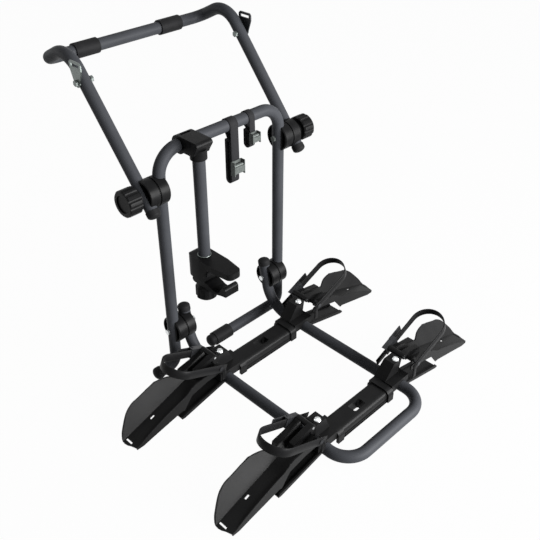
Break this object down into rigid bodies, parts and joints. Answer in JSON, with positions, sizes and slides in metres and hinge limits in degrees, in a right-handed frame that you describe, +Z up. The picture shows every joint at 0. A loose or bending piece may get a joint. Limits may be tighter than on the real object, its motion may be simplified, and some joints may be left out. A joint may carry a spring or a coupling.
{
  "type": "bike rack",
  "caption": "Folding platform bike rack of bent tube with wheel trays, ratchet wheel straps, a holding arm with a clamp, an adjustable arch and lobed pivot knobs.",
  "frame": {"origin": "centre of the footprint, on the floor under the rack", "axes": "+X across the rack, +Y toward the car, +Z up"},
  "size_m": [0.9, 0.9315, 0.82],
  "materials": {
    "tube_paint": "satin powder coat",
    "rubber_trim": "matte",
    "black_plastic": "fine grain",
    "strap_plastic": "ribbed",
    "fastener_steel": "bright zinc",
    "zinc_steel": "zinc plated",
    "dark_steel": "dark coated",
    "ratchet_steel": "zinc plated",
    "webbing": "woven"
  },
  "bodies": {
    "frame": {"main_frame_tube": "tube_paint", "foot_sleeve": "rubber_trim", "frame_end_caps": "rubber_trim", "upper_joint_frame_halves": "black_plastic", "lower_joint_frame_halves": "black_plastic", "upper_pivot_bolts": "fastener_steel", "lower_pivot_bolts": "fastener_steel", "strap_long": "webbing", "strap_short": "webbing", "buckle_long": "zinc_steel", "buckle_short": "zinc_steel"},
    "arch": {"arch_tube": "tube_paint", "arch_sleeves": "rubber_trim", "arch_end_caps": "rubber_trim", "upper_joint_arch_halves": "black_plastic", "anchor_bolts": "fastener_steel"},
    "knob_left": {"knob_left": "black_plastic"},
    "knob_right": {"knob_right": "black_plastic"},
    "anchor_left": {"anchor_plate_left": "zinc_steel"},
    "anchor_right": {"anchor_plate_right": "dark_steel"},
    "platform": {"platform_tube": "tube_paint", "platform_end_caps": "rubber_trim", "lower_joint_platform_halves": "black_plastic", "tray_channel_near": "black_plastic", "tray_channel_outer": "black_plastic", "tray_bolts": "fastener_steel", "scoop_hinge_pins": "fastener_steel", "tray_base_near_left": "black_plastic", "tray_base_near_right": "black_plastic", "tray_base_outer_left": "black_plastic", "tray_base_outer_right": "black_plastic"},
    "holding_arm": {"arm_bracket": "black_plastic", "arm_tube": "tube_paint", "clamp_upper_jaw": "black_plastic", "clamp_pad": "rubber_trim", "clamp_screw": "fastener_steel"},
    "clamp_jaw": {"clamp_lower_jaw": "black_plastic"},
    "clamp_knob": {"clamp_knob": "black_plastic"},
    "cam_lever_long": {"buckle_lever_long": "zinc_steel"},
    "cam_lever_short": {"buckle_lever_short": "zinc_steel"},
    "scoop_near_left": {"scoop_near_left": "black_plastic", "ratchet_strap_near_left": "strap_plastic", "ratchet_buckle_near_left": "ratchet_steel"},
    "ratchet_near_left": {"ratchet_lever_near_left": "ratchet_steel"},
    "scoop_near_right": {"scoop_near_right": "black_plastic", "ratchet_strap_near_right": "strap_plastic", "ratchet_buckle_near_right": "ratchet_steel"},
    "ratchet_near_right": {"ratchet_lever_near_right": "ratchet_steel"},
    "scoop_outer_left": {"scoop_outer_left": "black_plastic", "ratchet_strap_outer_left": "strap_plastic", "ratchet_buckle_outer_left": "ratchet_steel"},
    "ratchet_outer_left": {"ratchet_lever_outer_left": "ratchet_steel"},
    "scoop_outer_right": {"scoop_outer_right": "black_plastic", "ratchet_strap_outer_right": "strap_plastic", "ratchet_buckle_outer_right": "ratchet_steel"},
    "ratchet_outer_right": {"ratchet_lever_outer_right": "ratchet_steel"}
  },
  "joints": [
    {"name": "arch_fold", "type": "hinge", "parent": "frame", "child": "arch", "pos_m": [0, 0.1093, 0.544], "axis": [-1, 0, 0], "range_deg": [-35, 85]},
    {"name": "platform_fold", "type": "hinge", "parent": "frame", "child": "platform", "pos_m": [0, 0.1093, 0.132], "axis": [-1, 0, 0], "range_deg": [0, 35]},
    {"name": "knob_left_turn", "type": "hinge", "parent": "frame", "child": "knob_left", "pos_m": [-0.27, 0.1093, 0.544], "axis": [-1, 0, 0], "continuous": true},
    {"name": "knob_right_turn", "type": "hinge", "parent": "frame", "child": "knob_right", "pos_m": [0.27, 0.1093, 0.544], "axis": [1, 0, 0], "continuous": true},
    {"name": "anchor_left_swivel", "type": "hinge", "parent": "arch", "child": "anchor_left", "pos_m": [-0.252, 0.29057, 0.76002], "axis": [-1, 0, 0], "range_deg": [-60, 60]},
    {"name": "anchor_right_swivel", "type": "hinge", "parent": "arch", "child": "anchor_right", "pos_m": [0.252, 0.29057, 0.76002], "axis": [-1, 0, 0], "range_deg": [-60, 60]},
    {"name": "holding_arm_swing", "type": "hinge", "parent": "frame", "child": "holding_arm", "pos_m": [-0.108, 0.1093, 0.632], "axis": [-1, 0, 0], "range_deg": [0, 110]},
    {"name": "clamp_slide", "type": "slide", "parent": "holding_arm", "child": "clamp_jaw", "axis": [0, 0, 1], "range_m": [-0.018, 0.003]},
    {"name": "clamp_knob_turn", "type": "hinge", "parent": "clamp_jaw", "child": "clamp_knob", "pos_m": [-0.108, 0.0663, 0.24], "axis": [0, 0, 1], "range_deg": [-1621, 271]},
    {"name": "cam_lever_long_hinge", "type": "hinge", "parent": "frame", "child": "cam_lever_long", "pos_m": [0.026, 0.0829, 0.533], "axis": [-1, 0, 0], "range_deg": [0, 60], "stiffness_Nm_per_rad": 0.05, "springref_deg": -17.19},
    {"name": "cam_lever_short_hinge", "type": "hinge", "parent": "frame", "child": "cam_lever_short", "pos_m": [0.084, 0.0829, 0.591], "axis": [-1, 0, 0], "range_deg": [0, 60], "stiffness_Nm_per_rad": 0.05, "springref_deg": -17.19},
    {"name": "scoop_near_left_fold", "type": "hinge", "parent": "platform", "child": "scoop_near_left", "pos_m": [-0.17, -0.0177, 0.106], "axis": [0, -1, 0], "range_deg": [-70, 0]},
    {"name": "ratchet_near_left_lever", "type": "hinge", "parent": "scoop_near_left", "child": "ratchet_near_left", "pos_m": [-0.19618, 0.0338, 0.10556], "axis": [-0.3987, 0, -0.9171], "range_deg": [0, 60], "stiffness_Nm_per_rad": 0.05, "springref_deg": -17.19},
    {"name": "scoop_near_right_fold", "type": "hinge", "parent": "platform", "child": "scoop_near_right", "pos_m": [0.17, -0.0177, 0.106], "axis": [0, 1, 0], "range_deg": [-70, 0]},
    {"name": "ratchet_near_right_lever", "type": "hinge", "parent": "scoop_near_right", "child": "ratchet_near_right", "pos_m": [0.19618, 0.0338, 0.10556], "axis": [-0.3987, 0, 0.9171], "range_deg": [0, 60], "stiffness_Nm_per_rad": 0.05, "springref_deg": -17.19},
    {"name": "scoop_outer_left_fold", "type": "hinge", "parent": "platform", "child": "scoop_outer_left", "pos_m": [-0.17, -0.3504, 0.106], "axis": [0, -1, 0], "range_deg": [-70, 0]},
    {"name": "ratchet_outer_left_lever", "type": "hinge", "parent": "scoop_outer_left", "child": "ratchet_outer_left", "pos_m": [-0.19618, -0.2989, 0.10556], "axis": [-0.3987, 0, -0.9171], "range_deg": [0, 60], "stiffness_Nm_per_rad": 0.05, "springref_deg": -17.19},
    {"name": "scoop_outer_right_fold", "type": "hinge", "parent": "platform", "child": "scoop_outer_right", "pos_m": [0.17, -0.3504, 0.106], "axis": [0, 1, 0], "range_deg": [-70, 0]},
    {"name": "ratchet_outer_right_lever", "type": "hinge", "parent": "scoop_outer_right", "child": "ratchet_outer_right", "pos_m": [0.19618, -0.2989, 0.10556], "axis": [-0.3987, 0, 0.9171], "range_deg": [0, 60], "stiffness_Nm_per_rad": 0.05, "springref_deg": -17.19}
  ],
  "couplings": [
    {"joint": "clamp_knob_turn", "follows": "clamp_slide", "rad_per_m": 1570.8}
  ]
}
